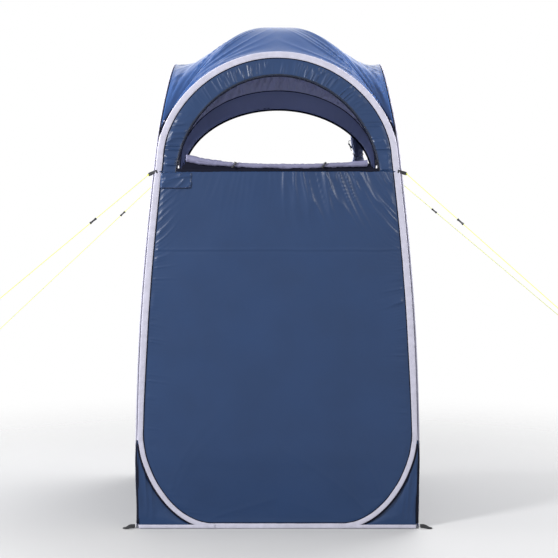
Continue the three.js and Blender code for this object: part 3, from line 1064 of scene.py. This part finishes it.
def add_roof():
    across, along = np.broadcast_arrays(np.linspace(-1, 1, 97)[None], np.linspace(1, 0, 72)[:, None])
    smooth_roof = roof_point(across, np.maximum(along, 0.002))
    normal = np.cross(np.gradient(smooth_roof, axis=1), np.gradient(smooth_roof, axis=0))
    normal /= np.linalg.norm(normal, axis=-1, keepdims=True) + 1e-12  # no length at the crown
    hold = smooth(1 - np.abs(across), 0, 0.12) * smooth(1 - along, 0, 0.06) * smooth(along, 0.02, 0.2)
    for number, side in enumerate(TURNS):
        folds = roof_wrinkles(across, along, 70 + number * 5) * hold
        points = sagged(turned(smooth_roof + normal * folds[..., None], TURNS[side]))
        gore = patches_object(f"roof_quarter_{side}", [points], ROOF_CLOTH_PAINTED_LIGHTER, ROOF_LINING_PAINTED_LIGHTER)
        two_sided(gore, (0, 0, 1))
        hang(gore, "polyester", f"roof_{side}")


def add_roof_seam(side):
    """The strip that holds a roof quarter to its wall, a narrow dark strip behind the arch, its darkness
    painted shade for the gap between the hoop's tape and the roof.
    """
    across = np.linspace(-1, 1, 120)
    low = sagged(turned(roof_point(across, np.full_like(across, 1.0)), TURNS[side]))
    flat = arc(0, ARCH_W, edge_half(ARCH_W) - 0.004, ARCH_RISE - 0.004, 172, 8, 120)
    wall = on_wall(side, *flat.T, -0.0032)
    hang(grid_object(f"{side}_roof_seam_shade", np.stack((low, wall), 1), SEAM_AND_SHADE), "zip_tape")


def pole_path(along, sign, drop):
    out = pole_out(along)
    return sagged(bowed(np.stack((out, sign * out, pole_height(along) - drop), -1)))


def add_poles():
    for name, (sign, drop) in POLES.items():
        path = pole_path(np.linspace(-POLE_TIP, POLE_TIP, 61), sign, drop)
        hang(tube(f"roof_rod_{name}", path, ROD_R, POLE, 14), "fibreglass", f"roof_pole_{name}")
        for part, (start, end) in (("low", (-0.9, -0.06)), ("high", (0.06, 0.9))):
            add_pole_sleeve(f"pole_sleeve_{name}_{part}", np.linspace(start, end, 60), sign, drop)


def add_pole_sleeve(name, along, sign, drop):
    """Cloth sleeve that hangs from the seam over a pole and holds it, left open at the crossing."""
    seam = pole_path(along, sign, 0.0015)
    run = tangents(seam)
    sideways = unit(np.cross(run, (0, 0, 1)))
    under = np.cross(run, sideways)
    around = np.radians(np.linspace(100, -280, 18))
    radius = 0.0046 + 0.0005 * np.sin(along[:, None] * 140 + 2 * around)
    beside, over = (radius * np.cos(around))[..., None], (radius * np.sin(around))[..., None]
    middle = (seam + under * (drop - 0.0015))[:, None]
    round_rod = middle + beside * sideways[:, None] - over * under[:, None]
    first, last = (seam + 0.0005 * sideways)[:, None], (seam - 0.0005 * sideways)[:, None]
    sleeve = grid_object(name, np.concatenate((first, round_rod, last), 1), SEAM_AND_SHADE)
    thicken(sleeve, 0.0006, offset=0)
    hang(sleeve, "zip_tape")


def add_pockets():
    """Webbing pockets that take the poles' tips."""
    ends = {"front_left": ("a", -1), "rear_right": ("a", 1), "rear_left": ("b", -1), "front_right": ("b", 1)}
    for name, (pole, end) in ends.items():
        tip, inner = pole_path(end * np.array((POLE_TIP, POLE_TIP - 0.03)), *POLES[pole])
        direction = unit(inner - tip)
        profile = [
            (0, -0.0035), (0.005, -0.0037), (0.0072, -0.002), (0.0078, 0.002), (0.0074, 0.012),
            (0.0079, 0.0225), (0.0076, 0.024), (0.005, 0.024), (0.0046, 0.0225), (0.0044, 0.002), (0, 0.0005),
        ]
        pocket = turned_part(f"pole_cup_{name}", profile, tip, direction, WEBBING)
        side = name.split("_")[1]
        if side == "left":
            hang(pocket, "webbing", f"pole_pocket_{name}")
        else:
            attach(pocket, "right_wall", f"pole_pocket_{name}")
            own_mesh(pocket)


def add_hanging_tab():
    low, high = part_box("hanging_tab")
    drop = np.linspace(0, 1, 24)
    down = np.stack((0 * drop, 0.0016 + 0.004 * np.sin(np.pi * drop), high.z - (high.z - low.z) * drop), -1)
    up = down[::-1] * (1, -1, 1)
    path = np.concatenate((down, up[1:]))
    tab = ribbon("crown_loop", path, 0.018, 0.0013, WEBBING, (1, 0, 0))
    hang(tab, "webbing", "hanging_tab")


# ---- front window


def zip_teeth(name, path, out, pitch=0.0022):
    """Two rows of small interlocking teeth along a closed zip."""
    dense = evenly(path, pitch)
    run = tangents(dense)
    out = np.broadcast_to(np.asarray(out, float), dense.shape)
    side = np.cross(run, out)
    vertices, faces = [], []
    for i, (place, r, s, o) in enumerate(zip(dense, run, side, out)):
        sign = 1 if i % 2 else -1
        centre = place + s * sign * 0.0009
        base = len(vertices)
        for lift, half_long, half_wide in ((0, 0.0010, 0.0018), (0.0014, 0.0007, 0.0014)):
            for a, b in ((-1, -1), (1, -1), (1, 1), (-1, 1)):
                vertices.append(centre + r * a * half_long + s * b * half_wide + o * lift)
        faces += [
            (base + 4, base + 5, base + 6, base + 7),
            *[(base + k, base + (k + 1) % 4, base + 4 + (k + 1) % 4, base + 4 + k) for k in range(4)],
        ]
    return mesh_object(name, vertices, faces, TEETH, flat=True)


def window_arc(radius, out):
    angle = np.linspace(0.03, math.pi - 0.03, 240)
    return on_wall("front", radius * np.cos(angle), WINDOW_W + radius * np.sin(angle), out)


def add_window_zip():
    front, flap_r = OUT["front"], WINDOW_R + 0.0062
    u = np.linspace(-WINDOW_R - 0.004, WINDOW_R + 0.004, 120)
    sill = on_wall("front", u, (SILL_LOW + SILL_TOP) / 2, 0.0014 + 0.0006 * noise(u / 0.05, 0, 81))
    whole = joined("window_zip_and_sill", [
        ribbon("zip_tape_arch", window_arc(WINDOW_R, 0.0012), 0.006, 0.0026, ZIP_TAPE, front),
        ribbon("zip_flap_arch", window_arc(flap_r, 0.0012), 0.0062, 0.0022, CLOTH, front),
        zip_teeth("zip_teeth_arch", window_arc(flap_r, 0.0024), front),
        ribbon("sill_band", sill, SILL_TOP - SILL_LOW, 0.003, ZIP_TAPE, front),
        tube("sill_piping", on_wall("front", u, SILL_TOP + 0.0005, 0.002), 0.0016, SEAM_AND_SHADE, 8),
    ])
    sew(whole, "front", "front_window_zip")
    for name, sign in (("left", -1), ("right", 1)):
        u = sign * np.linspace(WINDOW_R + 0.008, edge_half(SILL_LOW) - 0.018, 14)
        line = on_wall("front", u, SILL_LOW + 0.001, 0.001)
        sew(ribbon(f"sill_seam_{name}", line, 0.007, 0.0018, CLOTH, front), "front")


# How far the rolled cover's middle is above the sill, at places across the wall
ROLL_U = (-0.385, -0.29, -0.18, -0.06, 0.06, 0.18, 0.29, 0.38)
ROLL_RISE = (0.044, 0.028, 0.017, 0.012, 0.0115, 0.0125, 0.017, 0.025)
ROLL_TURNS = 7
TOGGLES = {"a": -0.181, "b": 0.194}


def roll_height(u):
    return np.polyval(np.polyfit(ROLL_U, ROLL_RISE, 4), u)


def add_window_cover():
    """The window's cover, rolled down on itself and held by two loops."""
    u = np.linspace(ROLL_U[0] + 0.002, ROLL_U[-1] - 0.002, 130)[:, None]
    a = np.linspace(0, ROLL_TURNS * 2 * np.pi, ROLL_TURNS * 22)[None]
    share = a / a.max()
    radius = 0.0028 + 0.0076 * share
    pinch = sum(bell(u, at, 0.012) for at in TOGGLES.values())
    ends = 0.75 * smooth(-u, 0.2, 0.37) + 0.4 * smooth(u, 0.27, 0.37)
    lump = noise(u / 0.04, a / 2.1, 91) * 0.26 + noise(u / 0.011 + a / 2, a / 0.9, 92) * 0.17
    lengthwise = crease(u / 0.09 + a * 0.3, a / 0.7, 97)
    radius = radius * (0.86 + (1.15 * lump + 0.26 * lengthwise) * (0.4 + 0.6 * share) - 0.22 * pinch + ends)
    twist = a + 0.5 * noise(u / 0.15, 0, 93)
    w = SILL_TOP + roll_height(u) + radius * np.sin(twist) * 0.92
    out = 0.003 + radius * np.cos(twist) * 1.05
    across = u + 0.0015 * noise(share * 4, u / 0.02, 94)
    roll = grid_object("window_cover_roll", on_wall("front", across, w, out), CLOTH, COVER_PAINTED_DARKER)
    thicken(roll, 0.00035, offset=0, inner_material=1)
    attach(roll, "front_wall", "front_window_cover")


def add_cover_root():
    """The cover's own cloth between the sill and its roll, with the two ends of its zip, coloured dark as
    painted shade under the roll.
    """
    u = np.linspace(-0.402, 0.402, 160)[None]
    share = np.linspace(0, 1, 10)[:, None]
    rise = roll_height(np.clip(u, ROLL_U[0], ROLL_U[-1])) * (1 - 0.8 * smooth(np.abs(u), 0.376, 0.4))
    w = SILL_TOP - 0.003 + share * (rise + 0.004)
    out = -0.002 + 0.002 * crease(u / 0.02 + share, share, 95) + 0.001 * share
    root = grid_object("window_cover_root", on_wall("front", u, w, out), SEAM_AND_SHADE)
    thicken(root, 0.0012, offset=0)
    attach(root, "front_wall")


def add_toggle(name, side, body, node):
    """Barrel toggle with a grooved waist."""
    across, upwards = towards(side, 1, 0, 0), towards(side, 0, SIN, COS)
    upper = np.array((
        (0.0028, 0.0024), (0.0036, 0.004), (0.004, 0.011), (0.0038, 0.0136), (0.0028, 0.0148), (0, 0.015)))
    profile = np.concatenate((upper[::-1] * (1, -1), upper))
    low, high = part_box(node)
    axis = across * 0.62 + upwards * 0.78 if high.z - low.z > 0.018 else across
    toggle = turned_part(name, profile, box_middle(node), axis, PLASTIC)
    attach(toggle, body, node)


def add_window_toggles():
    for name, u in TOGGLES.items():
        add_toggle(f"cover_toggle_{name}", "front", "front_wall", f"front_toggle_{name}")
        a = full_turn(40)
        w = SILL_TOP + roll_height(u) + 0.0128 * np.sin(a) - 0.001
        out = 0.0045 + 0.0142 * np.cos(a)
        line = on_wall("front", u + 0.002 * np.sin(a), w, out)
        loop = tube(f"cover_loop_{name}", line, 0.0013, ELASTIC, 8, True)
        attach(loop, "front_wall")


def slider(name, place, along, outwards, node):
    """Zip slider: a waisted body on the teeth, a bridge, and a pull that hangs from it."""
    along = unit(along)
    side = np.cross(along, outwards)
    down = np.array((0.0, 0.0, -1.0))
    down = unit(down - outwards * (down @ outwards))
    cross = np.cross(down, outwards)
    on_teeth, hanging = (side, along, outwards), (cross, down, outwards)
    # each part: size, how far out and down, its axes, material and bevel
    parts = (
        ("body", (0.0085, 0.0105, 0.0032), 0.0036, 0, on_teeth, SLIDER, 0.0011),
        ("bridge", (0.003, 0.008, 0.002), 0.0062, 0, on_teeth, SLIDER, 0.0008),
        ("tab", (0.0052, 0.019, 0.0016), 0.0068, 0.0115, hanging, SLIDER, 0.0006),
        ("grip", (0.006, 0.012, 0.0026), 0.0068, 0.024, hanging, PULL, 0.001),
    )
    whole = joined(name, [
        soft_box(f"{name}_{part}", size, place + out * outwards + low * down, axes, material, bevel)
        for part, size, out, low, axes, material, bevel in parts
    ])
    attach(whole, node, node)


def add_window_sliders():
    rest = math.asin(SLIDER_RISE / WINDOW_R)
    for name, sign in (("a", -1), ("b", 1)):
        place, ahead = (
            on_wall("front", sign * WINDOW_R * math.cos(angle), WINDOW_W + WINDOW_R * math.sin(angle))
            for angle in (rest, rest + 0.03))
        slider(f"window_slider_{name}", place, ahead - place, OUT["front"], f"front_zip_slider_{name}")


def add_patch():
    """Sewn storage patch beside the sill: a doubled cloth whose open lower edge stands a little off."""
    s, t = np.broadcast_arrays(np.linspace(0, 1, 80)[None], np.linspace(0, 1, 48)[:, None])
    u, w = PATCH_LEFT + PATCH_WIDE * s, PATCH_LOW + PATCH_TALL * t
    folds = crease(s * 3 - t * 1.6, 0.7 * t, 101) + 0.6 * crease(t * 3 - s * 0.7, s * 1.4, 103)
    out = 0.0062 + 0.003 * np.sin(np.pi * s) * (1 - t) + 0.0045 * folds
    out = out - 0.003 * (1 - smooth(np.minimum(np.minimum(s, 1 - s), 1 - t), 0, 0.06))
    patch = grid_object("storage_patch", on_wall("front", u, w, out), CLOTH)
    thicken(patch, 0.0016)
    hem = tube("storage_patch_hem", on_wall("front", u[0], w[0], out[0] + 0.0004), 0.0011, DARK_THREAD, 6)
    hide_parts("front_patch")
    for piece in (patch, hem):
        sew(piece, "front")


# ---- doorway


def add_door_zip():
    outwards = OUT["rear"]
    loop = door_loop(ZIP_OUT, (30, 40, 110, 120))
    path = on_wall("rear", *loop.T, 0.0012)
    tape = ribbon("door_zip_tape", path, 0.0155, 0.0026, ZIP_TAPE, outwards, closed=True)
    # the door's hinge side has no teeth
    open_side = loop[np.logical_or(loop[:, 0] > -0.43, loop[:, 1] < 0.2)]
    teeth_line = on_wall("rear", *open_side.T, 0.0024)
    split = int(np.argmax(np.linalg.norm(np.diff(teeth_line, axis=0), axis=1)))
    parts = [teeth_line[:split + 1], teeth_line[split + 1:]]
    teeth = [
        zip_teeth(f"door_teeth_{k}", part, outwards, 0.0028) for k, part in enumerate(parts) if len(part) > 2]
    whole = joined("door_zip_ring", [tape, *teeth])
    sew(whole, "rear", "doorway_zip")

    place, ahead = (on_wall("rear", DOOR_HALF + ZIP_OUT, w) for w in (DOOR_SLIDER_W, DOOR_SLIDER_W + 0.02))
    slider("door_slider", place, ahead - place, outwards, "door_zip_slider")


def bundle_size(w):
    """Half the width and half the depth of the tied-back door at each height."""
    half_wide = 0.031 + 0.004 * smooth(w, 1.45, 1.7) - 0.005 * (1 - smooth(w, 0.17, 0.3))
    half_deep = 0.0205 - 0.008 * (1 - smooth(w, 0.17, 0.32)) - 0.003 * smooth(w, 1.6, 1.72)
    tie = bell(w, TIE_W, 0.03)
    return half_wide * (1 - 0.34 * tie), half_deep * (1 - 0.2 * tie)


def add_door_leaf():
    """The door leaf, pleated back on itself beside the doorway and tied near the top."""
    w = np.linspace(0.176, 1.714, 150)[:, None]
    s = np.linspace(0, 1, 330)[None]
    half_wide, half_deep = bundle_size(w)
    phase = s * PLEATS * 2 * np.pi + 0.9 * noise(s * 6, w / 0.5, 111)
    envelope = np.sqrt(np.clip(1 - ((2 * s - 1) * 0.93) ** 2, 0.05, 1))
    depth = half_deep * envelope * (0.86 + 0.14 * noise(s * 9, w / 0.35, 112))
    u = BUNDLE_U + half_wide * 0.97 * (2 * s - 1) + 0.003 * noise(s * 5, w / 0.4, 113)
    out = BUNDLE_OUT + depth * np.sin(phase) + 0.002 * noise(s * 3, w / 0.3, 114)
    leaf = grid_object("door_leaf", on_wall("rear", u, w, out), CLOTH, LINING)
    thicken(leaf, 0.0005, offset=0, inner_material=1)
    attach(leaf, "door", "door_bundle")


def add_door_edge():
    """The sewn edge that the tied door hangs by."""
    w = np.linspace(0.38, 1.52, 60)[:, None]
    share = np.linspace(0, 1, 6)[None]
    out = 0.004 + 0.016 * share + 0.0012 * noise(w / 0.06, share, 115)
    edge = grid_object("door_edge", on_wall("rear", -0.460 + 0.034 * share, w, out), CLOTH, LINING)
    thicken(edge, 0.0006, offset=0, inner_material=1)
    start, end = (tuple(on_wall("rear", u, 0.95, 0.004)) for u in (-0.462, -0.428))
    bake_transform(edge)


def add_door_tie():
    """The toggle that ties the door back, its loop round the bundle and the free end of its cord."""
    add_toggle("door_tie_toggle", "rear", "door", "door_toggle")
    a = full_turn(60)
    tie_wide, tie_deep = bundle_size(TIE_W)
    u = BUNDLE_U + (tie_wide * 0.93 + 0.004) * np.cos(a)
    out = BUNDLE_OUT + (tie_deep * 0.95 + 0.003) * np.sin(a)
    line = on_wall("rear", u, TIE_W + 0.012 * np.sin(a), out)
    tie = tube("door_tie_loop", line, 0.0016, ELASTIC, 8, True)
    attach(tie, "door")
    t = np.linspace(0, 1, 24)
    u = -0.372 + 0.017 * np.sin(t * np.pi * 0.9)
    w = 1.615 + 0.10 * (1 - t) * (0.3 + 0.7 * t) * 1.4
    line = on_wall("rear", u, w, 0.028 + 0.004 * np.sin(t * 7))
    cord = tube("door_tie_cord", line, 0.0014, ELASTIC, 8)
    attach(cord, "door")


# ---- tabs and loops


def add_guy_tab(name):
    """Webbing tab folded round the guyline; the rear tabs have a bar of stitches where they are sewn to the
    sleeve.
    """
    side = name.split("_")[1]
    start, run = line_run(name)
    root = box_middle(f"guy_tab_{name}") - OUT[side] * 0.0155
    if name.startswith("front"):
        root = on_wall("front", np.sign(start[0]) * (edge_half(TAB_HEIGHT) - 0.008), TAB_HEIGHT, 0.005)
    tip = start + unit(run) * 0.001
    lift = np.array((0, 0, 1.0))
    across = unit(np.cross(tip - root, lift))
    t = np.linspace(0, 1, 16)[:, None]
    belly = 0.0035 * np.sin(np.pi * t**1.6) ** 0.7
    near = root + (tip - root) * t + across * (belly + 0.0009)
    far = (root + (tip - root) * t - across * (belly + 0.0009))[::-1]
    pieces = [ribbon(f"guy_strap_{name}", np.concatenate((near, far)), 0.0135, 0.0013, WEBBING, across)]
    if name.startswith("rear"):
        pieces.append(stitch_bar(name, root, tip, across, lift))
    attach(joined(f"guy_loop_{name}", pieces), f"{side}_wall", f"guy_tab_{name}")


def stitch_bar(name, root, tip, across, lift):
    return soft_box(
        f"guy_bar_{name}", (0.0044, 0.004, 0.0122), root + (tip - root) * 0.14,
        (across, unit(tip - root), lift), DARK_THREAD, 0.001)


def add_peg_loop(side, end):
    """Webbing loop at a bottom corner: a strap that goes out along the floor and back."""
    node = f"{side}_peg_loop_{end}"
    low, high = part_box(node)
    sign = -1 if side == "left" else 1
    inner, outer = (low.x, high.x)[::sign]
    y_mid = (low.y + high.y) / 2
    a = np.linspace(0, np.pi, 22)
    half_wide = 0.0092
    bend_x = outer - sign * (half_wide + 0.013)
    root_x = inner - sign * 0.014
    leg = np.linspace(root_x, bend_x, 14)
    upright = 1 - smooth(np.abs(leg - root_x), 0.012, 0.046)
    rise = 0.0075 * upright + 0.0014
    first = np.stack((leg, np.full_like(leg, y_mid - half_wide), rise), -1)
    bend_y = y_mid - half_wide * np.cos(a)
    bend = np.stack((bend_x + sign * half_wide * np.sin(a), bend_y, np.full_like(a, 0.0012)), -1)
    second = first[::-1] * (1, -1, 1) + (0, 2 * y_mid, 0)
    path = np.concatenate((first, bend[1:-1], second))
    twist = np.concatenate((-upright, 0 * bend[1:-1, 0], upright[::-1])) * np.pi / 2
    out = np.stack((0 * twist, np.sin(twist), np.cos(twist)), -1)
    loop = ribbon(f"peg_strap_{side}_{end}", path, 0.0125, 0.0026, WEBBING, out)
    sew(loop, side, node)


# ---- stage


# Name, place, aim, size, watts, spread in degrees, and whether it gives diffuse light and glints
LIGHTS = (
    ("key", (-4.4, -4.4, 3.4), (0, 0, 1.2), 1.1, 400, 180, True, True),
    ("top", (1.3, 1.6, 5.4), (0, 0, 1.0), 2.2, 225, 180, True, False),
    ("rim_left", (-4.0, 0.2, 2.5), (0, 0, 2.1), 1.6, 52, 50, True, False),
    ("rim_right", (4.0, 0.2, 2.5), (0, 0, 2.1), 1.6, 52, 50, True, False),
    ("sheen", (0.0, 4.5, 3.6), (0, 0, 1.9), 4.5, 70, 180, False, True),
    ("glint", (3.4, -4.2, 3.6), (0, 0, 1.5), 0.7, 90, 180, False, True),
)
FLOOR_HALF = 5


def add_stage():
    corners = [(x * FLOOR_HALF, y * FLOOR_HALF, 0) for x, y in ((-1, -1), (1, -1), (1, 1), (-1, 1))]
    floor = mesh_object("floor", corners, [(0, 1, 2, 3)])
    look = Look("pale_floor", "b2b2b3", 0.9)
    look.fade(1.1, 3.6)
    floor.data.materials.append(look.material)
    floor.location.z = -0.0015

    world = bpy.data.worlds.new("studio")
    bpy.context.scene.world = world
    world.use_nodes = True
    sky = world.node_tree.nodes["Background"].inputs
    sky["Color"].default_value = (1, 1, 1, 1)
    sky["Strength"].default_value = 1.0
    bpy.context.scene.view_settings.view_transform = "Standard"


def add_lights():
    for name, place, aim, size, power, spread, diffuse, glints in LIGHTS:
        data = bpy.data.lights.new(name, "AREA")
        data.size, data.energy, data.spread = size, power, math.radians(spread)
        lamp = bpy.data.objects.new(name, data)
        lamp.location = place
        lamp.visible_diffuse, lamp.visible_glossy = diffuse, glints
        lamp.visible_camera = False
        lamp.rotation_euler = (Vector(aim) - Vector(place)).to_track_quat("-Z", "Y").to_euler()
        bpy.context.scene.collection.objects.link(lamp)


def main():
    add_camera()
    for name in LINE_STARTS:
        add_guyline(name)
    add_wall_cloths()
    add_head_facing()
    for side in TURNS:
        add_hoop_and_tape(side)
        add_gussets(side)
    add_corner_strips()
    add_roof()
    for side in TURNS:
        add_roof_seam(side)
    add_poles()
    add_pockets()
    add_hanging_tab()
    add_window_zip()
    add_cover_root()
    add_window_cover()
    add_window_toggles()
    add_window_sliders()
    add_patch()
    add_door_zip()
    add_door_leaf()
    add_door_edge()
    add_door_tie()
    for name in LINE_STARTS:
        add_guy_tab(name)
    for side in ("left", "right"):
        for end in ("a", "b"):
            add_peg_loop(side, end)
    add_stage()
    add_lights()


main()
